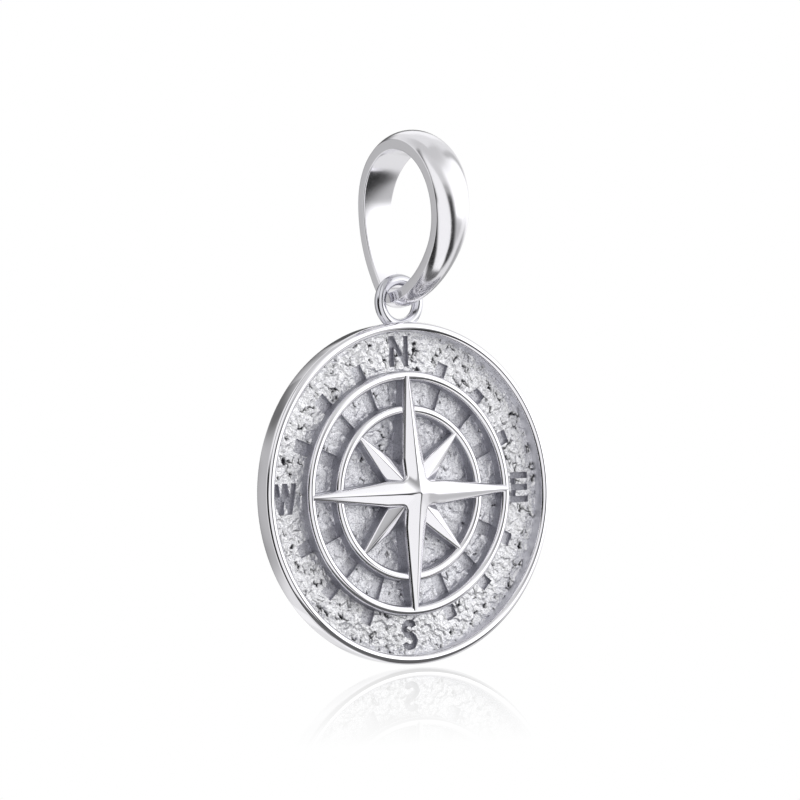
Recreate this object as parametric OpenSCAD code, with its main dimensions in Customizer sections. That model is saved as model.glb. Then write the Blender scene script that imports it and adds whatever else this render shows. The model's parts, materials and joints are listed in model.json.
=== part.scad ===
// Compass pendant: a round cast medallion with a soldered loop, hung in a separate teardrop bail.
// Millimetres. X runs along the chain, the face looks towards -Y and +Z is up.
// The origin is the highest point inside the bail's eye, where the chain carries the pendant.

/* [Medallion] */
// Outer diameter of the medallion
medallion_d = 22; // [18:0.5:30]
// Thickness from the back to the crest of the rim
medallion_t = 1.45; // [1.2:0.05:2.5]
// Thickness of the plate under the textured ground
floor_t = 0.5; // [0.4:0.05:0.7]
// Width of the raised rim
rim_w = 0.62; // [0.4:0.05:1]
// Bevel along the edge of the back
back_bevel = 0.15; // [0.05:0.05:0.3]

/* [Raised rings] */
// Outer diameter of the large ring
large_ring_d = 15.72; // [13:0.1:16.5]
// Outer diameter of the small ring
small_ring_d = 11.36; // [8:0.1:12.5]
// Width of both rings
ring_w = 0.62; // [0.4:0.02:0.9]
// Height of both rings above the ground
ring_h = 0.85; // [0.5:0.05:1.1]
// How much wider than a half round the crest of a rim or ring is
crest_ease = 0.05; // [0.02:0.01:0.1]

/* [Compass rose] */
// Width of a long arm where it is widest
long_arm_w = 1.6; // [1:0.05:2]
// Width of a long arm at its tip
long_tip_w = 0.42; // [0.3:0.02:0.6]
// Distance from the centre to where a long arm starts to taper
long_shoulder = 2.2; // [1.5:0.1:3.5]
// Height of a long arm's edges above the ground at the centre
long_edge_h = 1.55; // [1.2:0.05:1.8]
// Height of the ridge above those edges at the centre
long_ridge_h = 0.42; // [0.2:0.02:0.6]
// Width of a short arm at the centre
short_arm_w = 2.15; // [1.5:0.05:2.6]
// Width of a short arm at its tip
short_tip_w = 0.25; // [0.2:0.01:0.5]
// Height of a short arm's edges above the ground at the centre
short_edge_h = 1.1; // [0.9:0.05:1.15]
// Height of the ridge above those edges at the centre
short_ridge_h = 0.35; // [0.1:0.01:0.38]
// Height of any ridge above its edges at the tip
tip_ridge_h = 0.1; // [0.05:0.01:0.15]

/* [Marks and letters] */
// Width of a sunk mark along the ring
mark_w = 0.87; // [0.5:0.01:1.2]
// Length of a sunk mark outside the large ring
mark_l = 1.05; // [0.6:0.05:1.4]
// Depth of the marks and letters below the ground
mark_depth = 0.25; // [0.1:0.01:0.3]
// Height of the letters
letter_h = 1.96; // [1.5:0.02:2.1]
// Width of a letter's stroke
stroke_w = 0.4; // [0.25:0.01:0.45]
// Width of the letter N
n_w = 1.5; // [1.2:0.05:1.8]
// Width of the letter E
e_w = 1.38; // [1:0.02:1.6]
// Width of the letter W
w_w = 1.8; // [1.6:0.05:2]

/* [Loop] */
// Thickness of the round wire of the loop
loop_wire_d = 0.74; // [0.6:0.02:1]
// Diameter of the hole in the loop
loop_hole_d = 2.15; // [2:0.05:3]
// Height of the hole above the edge of the medallion
loop_rise = 0.2; // [0.05:0.05:0.3]

/* [Bail] */
// Radius of the round top of the eye
eye_r = 3.88; // [3:0.05:5]
// Distance from the foot of the eye, at the loop's wire, to the centre of its round top
eye_reach = 4.74; // [4.2:0.05:6]
// How far below its widest line the round top runs before the flatter sides begin
side_angle = 13.7; // [0:0.5:25]
// Thickness of the flat sides of the band
band_t = 0.66; // [0.4:0.02:1]
// Width of the band at the top of the eye
head_w = 2.88; // [2:0.05:4]
// Height of the domed outside above the flat sides at the top of the eye
dome_h = 0.62; // [0.3:0.02:0.9]
// Bevel along the inner edges of the band
band_bevel = 0.1; // [0.04:0.01:0.2]
// Play at each side of the band inside the loop
foot_gap = 0.24; // [0.15:0.01:0.4]
// Play between the loop's wire and the foot of the eye
seat_gap = 0.06; // [0.04:0.01:0.15]
// How far the bail leans towards the face as it hangs
bail_lean = 23.5; // [0:0.5:30]

/* [Hidden] */
$fn = 96;

// How deep each soldered or cast part is sunk into what carries it
sink = 0.08;
// Extra height of a cutting shape above the surface that it cuts
over_cut = 1;

medallion_r = medallion_d / 2;
large_ring_r = large_ring_d / 2;
small_ring_r = small_ring_d / 2;
mark_places = 16;
rim_inner_r = medallion_r - rim_w;
letter_r = (large_ring_r + rim_inner_r) / 2;
letter_round_r = (letter_h + stroke_w) / 4;
letter_terminal = 18;

loop_wire_r = loop_wire_d / 2;
loop_hole_r = loop_hole_d / 2;
loop_mid_r = loop_hole_r + loop_wire_r;
loop_centre_h = medallion_r + loop_rise + loop_hole_r;

// The hinge line is the middle of the loop's wire at the top of the loop.
foot_w = loop_hole_d - 2 * foot_gap;
foot_r = loop_mid_r - sqrt(pow(loop_hole_r, 2) - pow(foot_w / 2, 2)) + seat_gap;
hinge_h = loop_centre_h + loop_mid_r;
eye_top_h = eye_reach * cos(bail_lean) + eye_r;
eye_top_y = -eye_reach * sin(bail_lean);
band_reach = eye_reach + eye_r;

// The sides of the eye are arcs that touch its round top and its round foot.
round_step = eye_r - foot_r;
side_shift = (pow(eye_reach, 2) - pow(round_step, 2))
    / (2 * (round_step - eye_reach * sin(side_angle)));
side_r = eye_r + side_shift;
side_centre = [-side_shift * cos(side_angle), eye_reach + side_shift * sin(side_angle)];
foot_angle = atan2(-side_centre[1], -side_centre[0]);

top_stations = 30;
side_stations = 10;
foot_stations = 8;
dome_steps = 8;

// Points around a round, as [across, up, angle of the outward normal].
function round_points(centre, radius, from, to, steps) = [
    for (i = [0 : steps - 1])
        let (a = from + (to - from) * i / steps)
        [centre[0] + radius * cos(a), centre[1] + radius * sin(a), a]
];

function mirrored(points) = [
    for (i = [len(points) - 1 : -1 : 0]) [-points[i][0], points[i][1], 180 - points[i][2]]
];

// The eye's outline from the right of its foot, over the top and down to the left of its foot.
side_points = round_points(side_centre, side_r, foot_angle, -side_angle, side_stations);
eye_outline = concat(
    side_points,
    round_points([0, eye_reach], eye_r, -side_angle, 180 + side_angle, top_stations),
    [[-eye_r * cos(side_angle), eye_reach - eye_r * sin(side_angle), 180 + side_angle]],
    [for (i = [0 : side_stations - 2]) mirrored(side_points)[i]],
    round_points([0, 0], foot_r, 180 - foot_angle, 360 + foot_angle, foot_stations)
);

// The band grows in width in step with the height along the eye.
function band_w(up) = foot_w + (head_w - foot_w) * max(0, up) / band_reach;

// The section of the band: flat inside, low flat sides and a domed outside, as [along the chain, out].
function band_section(w) =
    let (half = w / 2, dome = dome_h * w / head_w, dome_r = (half * half + dome * dome) / (2 * dome))
    concat(
        [[-half + band_bevel, 0], [half - band_bevel, 0], [half, band_bevel], [half, band_t]],
        [for (i = [1 : dome_steps - 1])
            let (x = half - w * i / dome_steps)
            [x, band_t + dome - dome_r + sqrt(dome_r * dome_r - x * x)]],
        [[-half, band_t], [-half, band_bevel]]
    );

// A closed tube of equal sections, joined end to start.
module closed_sweep(sections) {
    count = len(sections);
    size = len(sections[0]);
    points = [for (section = sections) each section];
    faces = [
        for (i = [0 : count - 1], j = [0 : size - 1])
            let (a = i * size + j, b = i * size + (j + 1) % size)
            let (c = ((i + 1) % count) * size + j, d = ((i + 1) % count) * size + (j + 1) % size)
            each [[a, d, b], [a, c, d]]
    ];
    polyhedron(points = points, faces = faces, convexity = 6);
}

// A wall with a rounded crest, as its section from its inner foot.
module crested_wall(w, h) {
    crest_r = w / 2 + crest_ease;
    intersection() {
        square([w, h + over_cut]);
        union() {
            square([w, h - crest_r]);
            translate([w / 2, h - crest_r]) circle(r = crest_r);
        }
    }
}

module plate_and_rim() {
    rotate_extrude() {
        polygon([
            [0, 0], [medallion_r - back_bevel, 0], [medallion_r, back_bevel],
            [medallion_r, floor_t], [0, floor_t]
        ]);
        translate([rim_inner_r, back_bevel]) crested_wall(rim_w, medallion_t - back_bevel);
    }
}

module raised_ring(outer_r) {
    foot = mark_depth + sink;
    rotate_extrude()
        translate([outer_r - ring_w, floor_t - foot])
            crested_wall(ring_w, ring_h + foot);
}

// One sunk mark that starts under the wall at inner_r and ends at outer_r.
module sunk_mark(inner_r, outer_r) {
    translate([-mark_w / 2, inner_r, floor_t - mark_depth])
        cube([mark_w, outer_r - inner_r, mark_depth + over_cut]);
}

// The marks leave the four places of the long arms and letters free.
module sunk_marks() {
    for (i = [1 : mark_places]) {
        if (i % (mark_places / 4) != 0) {
            rotate(-i * 360 / mark_places) {
                sunk_mark(large_ring_r - ring_w / 2, large_ring_r + mark_l);
                sunk_mark(small_ring_r - ring_w / 2, large_ring_r - ring_w / 2);
            }
        }
    }
}

// A slanted stroke from x at the top to foot_x at the baseline.
module slanted_stroke(top_x, foot_x) {
    polygon([[top_x, letter_h], [top_x + stroke_w, letter_h], [foot_x + stroke_w, 0], [foot_x, 0]]);
}

module letter_n() {
    square([stroke_w, letter_h]);
    translate([n_w - stroke_w, 0]) square([stroke_w, letter_h]);
    slanted_stroke(0, n_w - stroke_w);
}

module letter_e() {
    square([stroke_w, letter_h]);
    for (y = [0, (letter_h - stroke_w) / 2, letter_h - stroke_w]) {
        translate([0, y]) square([e_w, stroke_w]);
    }
}

module letter_w() {
    spread = w_w - stroke_w;
    slanted_stroke(0, spread / 4);
    slanted_stroke(spread / 2, spread / 4);
    slanted_stroke(spread / 2, spread * 3 / 4);
    slanted_stroke(spread, spread * 3 / 4);
}

// The upper bow of the letter S about its own middle; the lower one is the same, turned round.
module s_bow() {
    reach = 2 * letter_round_r;
    translate([0, letter_round_r - stroke_w / 2]) {
        intersection() {
            difference() {
                circle(r = letter_round_r);
                circle(r = letter_round_r - stroke_w);
            }
            polygon([
                [0, 0], [reach * cos(letter_terminal), reach * sin(letter_terminal)],
                [reach, reach], [-reach, reach], [-reach, -reach], [0, -reach]
            ]);
        }
    }
}

module letter_s() {
    translate([letter_round_r, letter_h / 2]) {
        s_bow();
        rotate(180) s_bow();
    }
}

module sunk_letter(east, north, w) {
    translate([east * letter_r - w / 2, north * letter_r - letter_h / 2, floor_t - mark_depth])
        linear_extrude(mark_depth + over_cut)
            children();
}

module sunk_letters() {
    sunk_letter(0, 1, n_w) letter_n();
    sunk_letter(1, 0, e_w) letter_e();
    sunk_letter(0, -1, 2 * letter_round_r) letter_s();
    sunk_letter(-1, 0, w_w) letter_w();
}

// The five corners of a ridged bar's section at y, up from the sunk foot.
function bar_section(y, w, edge_h, ridge_h) = [
    [-w / 2, y, floor_t - sink], [w / 2, y, floor_t - sink],
    [w / 2, y, floor_t + edge_h], [0, y, floor_t + edge_h + ridge_h], [-w / 2, y, floor_t + edge_h]
];

// A ridged bar through a row of sections, with flat ends.
module ridged_bar(sections) {
    count = len(sections);
    last = 5 * (count - 1);
    points = [for (section = sections) each section];
    sides = [
        for (i = [0 : count - 2], j = [0 : 4])
            let (a = i * 5 + j, b = i * 5 + (j + 1) % 5)
            each [[a, b + 5, a + 5], [a, b, b + 5]]
    ];
    ends = [[4, 3, 2, 1, 0], [last, last + 1, last + 2, last + 3, last + 4]];
    polyhedron(points = points, faces = concat(sides, ends), convexity = 4);
}

// A value that falls evenly from its size at the centre to its size at the tip.
function eased(from, to, share) = from + (to - from) * share;

// Two opposite long arms in one bar, from the large ring through the centre.
module long_bar() {
    tip_r = large_ring_r - ring_w / 2;
    tip_h = ring_h - crest_ease;
    share = long_shoulder / tip_r;
    tip = [long_tip_w, tip_h, tip_ridge_h];
    shoulder = [long_arm_w, eased(long_edge_h, tip_h, share), eased(long_ridge_h, tip_ridge_h, share)];
    middle = [long_arm_w, long_edge_h, long_ridge_h];
    stations = [
        [-tip_r, tip], [-long_shoulder, shoulder],
        [0, middle],
        [long_shoulder, shoulder], [tip_r, tip]
    ];
    ridged_bar([for (s = stations) bar_section(s[0], s[1][0], s[1][1], s[1][2])]);
}

// Two opposite short arms in one bar, from the small ring through the centre.
module short_bar() {
    tip_r = small_ring_r - ring_w / 2;
    tip_h = ring_h - crest_ease - tip_ridge_h;
    tip = [short_tip_w, tip_h, tip_ridge_h];
    middle = [short_arm_w, short_edge_h, short_ridge_h];
    stations = [[-tip_r, tip], [0, middle], [tip_r, tip]];
    ridged_bar([for (s = stations) bar_section(s[0], s[1][0], s[1][1], s[1][2])]);
}

module compass_rose() {
    for (turn = [0, 90]) {
        rotate(turn) long_bar();
        rotate(turn + 45) short_bar();
    }
}

// The loop stands on the rim, in the middle of the medallion's thickness.
module hanging_loop() {
    translate([0, loop_centre_h, medallion_t / 2])
        rotate_extrude()
            translate([loop_mid_r, 0]) circle(r = loop_wire_r);
}

// The medallion lies on its back here, with north along +Y.
module flat_medallion() {
    difference() {
        plate_and_rim();
        sunk_marks();
        sunk_letters();
    }
    raised_ring(large_ring_r);
    raised_ring(small_ring_r);
    compass_rose();
    hanging_loop();
}

// Moves children from the hinge line to their place under the chain.
module from_hinge() {
    translate([0, -eye_top_y, -eye_top_h]) children();
}

module medallion() {
    color("gainsboro")
        from_hinge()
            translate([0, medallion_t / 2, -hinge_h])
                rotate([90, 0, 0])
                    flat_medallion();
}

module bail() {
    stations = [
        for (station = eye_outline)
            let (w = band_w(station[1]), a = station[2])
            [for (corner = band_section(w))
                [corner[0], station[0] + corner[1] * cos(a), station[1] + corner[1] * sin(a)]]
    ];
    color("silver")
        from_hinge()
            rotate([bail_lean, 0, 0])
                closed_sweep(stations);
}

medallion();
bail();
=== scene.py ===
"""Compass pendant: a cast and polished medallion hung in a teardrop bail, with its light and camera."""

import json
import logging
import math
from collections.abc import Iterable, Sequence
from dataclasses import dataclass, field
from enum import Enum, IntEnum
from functools import partial

import bmesh
import bpy
import numpy as np
from mathutils import Matrix, Vector


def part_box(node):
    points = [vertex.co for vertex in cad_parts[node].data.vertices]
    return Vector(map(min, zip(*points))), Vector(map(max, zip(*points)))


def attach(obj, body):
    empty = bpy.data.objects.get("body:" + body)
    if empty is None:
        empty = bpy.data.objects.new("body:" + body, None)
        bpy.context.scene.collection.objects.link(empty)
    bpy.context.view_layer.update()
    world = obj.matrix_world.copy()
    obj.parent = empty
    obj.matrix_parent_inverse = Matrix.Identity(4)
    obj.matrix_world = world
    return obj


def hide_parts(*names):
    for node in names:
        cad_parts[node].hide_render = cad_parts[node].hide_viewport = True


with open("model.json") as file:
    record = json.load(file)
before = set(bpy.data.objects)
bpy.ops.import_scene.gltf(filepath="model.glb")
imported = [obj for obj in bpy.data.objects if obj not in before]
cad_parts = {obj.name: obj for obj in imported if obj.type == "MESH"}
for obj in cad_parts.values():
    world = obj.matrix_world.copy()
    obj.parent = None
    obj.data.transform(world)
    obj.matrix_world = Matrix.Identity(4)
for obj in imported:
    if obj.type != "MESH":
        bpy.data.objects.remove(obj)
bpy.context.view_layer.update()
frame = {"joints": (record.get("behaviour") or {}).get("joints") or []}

log = logging.getLogger("pendant")
MM = 0.001
CREASE_DEGREES = 26
MERGE_MM = 1e-4


class Slot(Enum):
    """The record's material slots."""

    POLISHED = "polished_silver"
    CAST = "cast_silver"


class Body(Enum):
    """The parts that move against each other, which are also the names of the solids."""

    MEDALLION = "medallion"
    BAIL = "bail"


class Finish(IntEnum):
    """The place of each finish on a polished piece of the medallion."""

    POLISHED = 0
    # walls: a dull cast finish whose darker colour is painted shade
    WALL = 1
    BRUSHED = 2
    SATIN = 3


def linear(hex_colour: str) -> tuple[float, float, float, float]:
    """Turns an sRGB hex colour into linear values.

    Args:
        hex_colour: Six hex digits, such as "f2f2f0".

    Returns:
        Red, green, blue and an alpha of 1, as linear values.
    """
    parts = [int(hex_colour[i : i + 2], 16) / 255 for i in (0, 2, 4)]
    red, green, blue = (c / 12.92 if c <= 0.04045 else ((c + 0.055) / 1.055) ** 2.4 for c in parts)
    return red, green, blue, 1.0


def fill(node: bpy.types.Node, inputs: dict) -> None:
    """Fills or links a node's inputs.

    Args:
        node: The node.
        inputs: Input names or numbers, each with a value or with the output socket that feeds it.
    """
    for key, value in inputs.items():
        socket = node.inputs[key]
        if isinstance(value, bpy.types.NodeSocket):
            node.id_data.links.new(value, socket)
        else:
            socket.default_value = value


def add_node(tree: bpy.types.NodeTree, kind: str, inputs: dict | None = None, **settings) -> bpy.types.Node:
    """Adds one node with its settings, and fills or links its inputs.

    Args:
        tree: The shader, world or geometry tree.
        kind: The node's type name, such as "ShaderNodeMath".
        inputs: Input names or numbers, each with a value or with the output socket that feeds it.
        **settings: The node's own properties, such as operation.

    Returns:
        The new node.
    """
    node = tree.nodes.new(kind)
    for name, value in settings.items():
        setattr(node, name, value)
    fill(node, inputs or {})
    return node


def new_object(name: str, points: np.ndarray, faces: Sequence[Sequence[int]],
               finishes: Sequence[int] | None = None) -> bpy.types.Object:
    """Makes a mesh object that is shaded smooth between its creases.

    Args:
        name: The object's name.
        points: One row of x, y and z for each point.
        faces: The point numbers of each face, in order as seen from outside.
        finishes: The number of each face's material, or None where there is one material.

    Returns:
        The object, linked to the scene.
    """
    mesh = bpy.data.meshes.new(name)
    mesh.from_pydata(points.tolist(), [], [list(map(int, face)) for face in faces])
    if finishes is not None:
        mesh.polygons.foreach_set("material_index", [int(finish) for finish in finishes])
    mesh.validate()
    mesh.shade_smooth()
    mesh.set_sharp_from_angle(angle=math.radians(CREASE_DEGREES))
    made = bpy.data.objects.new(name, mesh)
    bpy.context.scene.collection.objects.link(made)
    return made


def grid_faces(rows: int, columns: int, wrap_rows: bool = False,
               wrap_columns: bool = False) -> list[tuple[int, ...]]:
    """Numbers the faces of a grid of points that is stored row by row.

    Args:
        rows: How many rows of points there are.
        columns: How many points a row has.
        wrap_rows: Whether the last row joins the first.
        wrap_columns: Whether the last column joins the first.

    Returns:
        One tuple of four point numbers for each face.
    """
    return [
        (
            i * columns + j,
            i * columns + (j + 1) % columns,
            (i + 1) % rows * columns + (j + 1) % columns,
            (i + 1) % rows * columns + j,
        )
        for i in range(rows if wrap_rows else rows - 1)
        for j in range(columns if wrap_columns else columns - 1)
    ]


def on_walls(top: np.ndarray, foot: float, first_row: bool) -> np.ndarray:
    """Adds upright walls round a grid of points, down to a foot.

    Args:
        top: The points, row by row.
        foot: The height of the walls' foot.
        first_row: Whether the first row gets a wall too.

    Returns:
        The points with two more columns and one or two more rows.
    """
    low = top.copy()
    low[..., 2] = foot
    wide = np.concatenate([low[:, :1], top, low[:, -1:]], 1)
    low = wide.copy()
    low[..., 2] = foot
    return np.concatenate([low[:1], wide, low[-1:]] if first_row else [wide, low[-1:]], 0)


def across_shares(facet: float, facet_steps: int, edge_steps: int) -> np.ndarray:
    """Spaces points across an arm, closer together at its ridge and on its rounded edges.

    Args:
        facet: The share of half the arm that lies inside its rounded edge.
        facet_steps: How many points that share has.
        edge_steps: How many points the rounded edge has.

    Returns:
        Shares of half the width, from -1 to 1.
    """
    crowding = 1.4
    flat = facet * np.linspace(0, 1, facet_steps + 1)[:-1] ** crowding
    edge = facet + (1 - facet) * np.sin(np.linspace(0, 1, edge_steps) * math.pi / 2)
    side = np.concatenate([flat, edge])
    return np.concatenate([-side[:0:-1], side])


@dataclass
class Patchwork:
    """A shape that is put together from grids of points."""

    points: list[np.ndarray] = field(default_factory=list)
    faces: list[tuple[int, ...]] = field(default_factory=list)
    finishes: list[int] = field(default_factory=list)

    def add(self, grid: np.ndarray, walled: bool) -> None:
        """Adds a grid.

        Args:
            grid: The points, row by row.
            walled: Whether the first and last columns of faces are walls, dull and darker with painted shade.
        """
        rows, columns = grid.shape[:2]
        base = sum(len(part) for part in self.points)
        self.points.append(grid.reshape(-1, 3))
        self.faces += [tuple(base + i for i in face) for face in grid_faces(rows, columns)]
        dull = (0, columns - 2) if walled else ()
        self.finishes += [
            Finish.WALL if column in dull else Finish.POLISHED
            for _ in range(rows - 1)
            for column in range(columns - 1)
        ]

    def closed(self, name: str) -> bpy.types.Object:
        """Makes the piece, with its grids merged and its underside closed."""
        made = new_object(name, np.concatenate(self.points), self.faces, self.finishes)
        close_below(made)
        return made


def close_below(piece: bpy.types.Object) -> None:
    """Merges the doubles of a piece that is open below, closes its underside and turns its faces outwards.

    Args:
        piece: The piece, in millimetres.
    """
    shape = bmesh.new()
    shape.from_mesh(piece.data)
    bmesh.ops.remove_doubles(shape, verts=shape.verts, dist=MERGE_MM)
    brink = [edge for edge in shape.edges if edge.is_boundary]
    for edge in brink:
        edge.smooth = False
    bmesh.ops.holes_fill(shape, edges=brink, sides=0)
    bmesh.ops.recalc_face_normals(shape, faces=shape.faces)
    shape.to_mesh(piece.data)
    shape.free()


def arc(centre: tuple[float, float], radius: float, start: float, end: float,
        steps: int) -> list[tuple[float, float]]:
    """Returns points along an arc in a plane.

    Args:
        centre: The arc's centre.
        radius: Its radius.
        start: The angle of the first point, in degrees.
        end: The angle of the last point, in degrees.
        steps: How many stretches the arc is cut into.

    Returns:
        The points, the first and the last among them.
    """
    angles = np.radians(np.linspace(start, end, steps + 1))
    return [(centre[0] + radius * math.cos(a), centre[1] + radius * math.sin(a)) for a in angles]


@dataclass(frozen=True)
class Seat:
    """Where the medallion hangs: it is modelled lying on its back in millimetres, with north along +Y."""

    radius: float
    back_y: float
    centre_z: float

    @classmethod
    def from_frame(cls) -> "Seat":
        """Reads the medallion's place from its solid."""
        low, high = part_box(Body.MEDALLION.value)
        radius = min(high.x, -low.x)
        return cls(radius / MM, high.y / MM, (low.z + radius) / MM)

    def matrix(self) -> Matrix:
        """Returns the move from the flat medallion in millimetres to its place in metres."""
        place = Matrix.Translation((0, self.back_y * MM, self.centre_z * MM))
        return place @ Matrix.Rotation(math.radians(90), 4, "X") @ Matrix.Scale(MM, 4)


def finish_piece(piece: bpy.types.Object, body: Body) -> None:
    """Makes a piece ride on its body and stand for its solid.

    Args:
        piece: The finished piece, in place.
        body: The body that carries it.
    """
    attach(piece, body.value)
    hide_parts(body.value)
    triangles = sum(len(polygon.vertices) - 2 for polygon in piece.data.polygons)
    log.info("%s rides on %s with %d triangles", piece.name, body.value, triangles)


def run_tree(piece: bpy.types.Object, tree: bpy.types.NodeTree, values: dict[str, object]) -> None:
    """Runs a Geometry Nodes tree on a piece and keeps the result as its plain mesh.

    Args:
        piece: The piece whose mesh goes in and is replaced.
        tree: The tree.
        values: The tree's inputs by name.
    """
    modifier = piece.modifiers.new(tree.name, "NODES")
    modifier.node_group = tree
    for item in tree.interface.items_tree:
        if item.item_type == "SOCKET" and item.in_out == "INPUT" and item.name in values:
            modifier[item.identifier] = values[item.name]
    graph = bpy.context.evaluated_depsgraph_get()
    made = piece.evaluated_get(graph)
    mesh = bpy.data.meshes.new_from_object(made, preserve_all_data_layers=True, depsgraph=graph)
    piece.modifiers.remove(modifier)
    piece.data = mesh


def new_tree(name: str, sockets: Iterable[tuple[str, str]]) -> tuple[bpy.types.NodeTree, bpy.types.Node]:
    """Starts a Geometry Nodes tree with named inputs and one geometry output.

    Args:
        name: The tree's name.
        sockets: The name and the socket type of each input after the geometry.

    Returns:
        The tree and its input node.
    """
    tree = bpy.data.node_groups.new(name, "GeometryNodeTree")
    tree.interface.new_socket("Geometry", in_out="INPUT", socket_type="NodeSocketGeometry")
    for label, kind in sockets:
        tree.interface.new_socket(label, in_out="INPUT", socket_type=kind)
    tree.interface.new_socket("Geometry", in_out="OUTPUT", socket_type="NodeSocketGeometry")
    return tree, tree.nodes.new("NodeGroupInput")


def end_tree(tree: bpy.types.NodeTree, geometry: bpy.types.NodeSocket,
             finishes: Iterable[tuple[bpy.types.NodeSocket, bpy.types.NodeSocket]]) -> None:
    """Ends a tree in Realize Instances and Set Material.

    Args:
        tree: The tree.
        geometry: What the tree made.
        finishes: Each finish as the choice of its faces and its material.
    """
    real = add_node(tree, "GeometryNodeRealizeInstances", {0: geometry}).outputs[0]
    for chosen, material in finishes:
        real = add_node(tree, "GeometryNodeSetMaterial",
                        {"Geometry": real, "Selection": chosen, "Material": material}).outputs[0]
    add_node(tree, "NodeGroupOutput", {0: real})


# Finishes


def metal(name: str) -> tuple[bpy.types.Material, bpy.types.Node, bpy.types.NodeSocket]:
    """Starts a metal finish.

    Args:
        name: The material's name.

    Returns:
        The material, its shader and the place on the piece that its patterns follow.
    """
    made = bpy.data.materials.new(name)
    made.use_nodes = True
    shader = made.node_tree.nodes["Principled BSDF"]
    fill(shader, {"Metallic": 1.0})
    return made, shader, add_node(made.node_tree, "ShaderNodeTexCoord").outputs["Object"]


def spread(roughness: float) -> tuple[float, float]:
    """Returns the lowest and the highest roughness of a hand-worked surface."""
    return roughness * 0.7, roughness * 1.3


@dataclass(frozen=True)
class PolishedSilver:
    """Sterling silver, rhodium plated and buffed to a mirror.

    It gives the eye a bright white metal that mirrors the studio, with faint buffing marks.
    """

    name: str
    colour: str = "f6f5f9"
    roughness: float = 0.06
    buffing_mm: float = 0.35

    def material(self) -> bpy.types.Material:
        """Builds the mirror finish."""
        made, shader, place = metal(self.name)
        add = partial(add_node, made.node_tree)
        scale = 1 / (self.buffing_mm * MM)
        waves = add("ShaderNodeTexNoise", {"Vector": place, "Scale": scale, "Detail": 2.0}).outputs[0]
        low, high = spread(self.roughness)
        rough = add("ShaderNodeMapRange", {0: waves, 3: low, 4: high})
        fill(shader, {"Base Color": linear(self.colour), "Roughness": rough.outputs[0]})
        return made


@dataclass(frozen=True)
class BrushedSilver:
    """Sterling silver drawn over a fine abrasive belt, rhodium plated.

    It gives the eye a satin back with faint straight marks, a little coarser than real so that they show.
    """

    colour: str = "f4f4f8"
    mark_colour: str = "cfcfd6"
    roughness: float = 0.3
    mark_mm: float = 0.1
    mark_length_mm: float = 4.0
    mark_depth: float = 0.1
    mark_share: float = 0.7
    cloud_mm: float = 5.0
    cloud_share: float = 0.3
    rough_levels: tuple[float, float] = (0.3, 0.7)
    mark_levels: tuple[float, float] = (0.4, 0.65)

    def material(self) -> bpy.types.Material:
        """Builds the satin finish, with marks along the east-west line."""
        made, shader, place = metal("brushed_silver")
        add = partial(add_node, made.node_tree)
        along, across = 1 / (self.mark_length_mm * MM), 1 / (self.mark_mm * MM)
        drawn = add("ShaderNodeVectorMath", {0: place, 1: (along, across, across)},
                    operation="MULTIPLY").outputs[0]
        marks = add("ShaderNodeTexNoise", {"Vector": drawn, "Scale": 1.0, "Detail": 3.0}).outputs[0]
        cloud = add("ShaderNodeTexNoise", {"Vector": place, "Scale": 1 / (self.cloud_mm * MM)}).outputs[0]
        marked, clouded = (
            add("ShaderNodeMath", {0: pattern, 1: share}, operation="MULTIPLY").outputs[0]
            for pattern, share in ((marks, self.mark_share), (cloud, self.cloud_share))
        )
        both = add("ShaderNodeMath", {0: marked, 1: clouded}, operation="ADD").outputs[0]
        (start, end), (low, high) = self.rough_levels, spread(self.roughness)
        rough = add("ShaderNodeMapRange", {0: both, 1: start, 2: end, 3: low, 4: high})
        start, end = self.mark_levels
        share = add("ShaderNodeMapRange", {0: both, 1: start, 2: end}).outputs[0]
        ends = {6: linear(self.colour), 7: linear(self.mark_colour)}
        colour = add("ShaderNodeMix", {0: share, **ends}, data_type="RGBA").outputs[2]
        bump = add("ShaderNodeBump",
                   {"Height": marks, "Strength": self.mark_depth, "Distance": self.mark_mm * MM})
        fill(shader, {"Roughness": rough.outputs[0], "Base Color": colour, "Normal": bump.outputs[0]})
        return made


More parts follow.
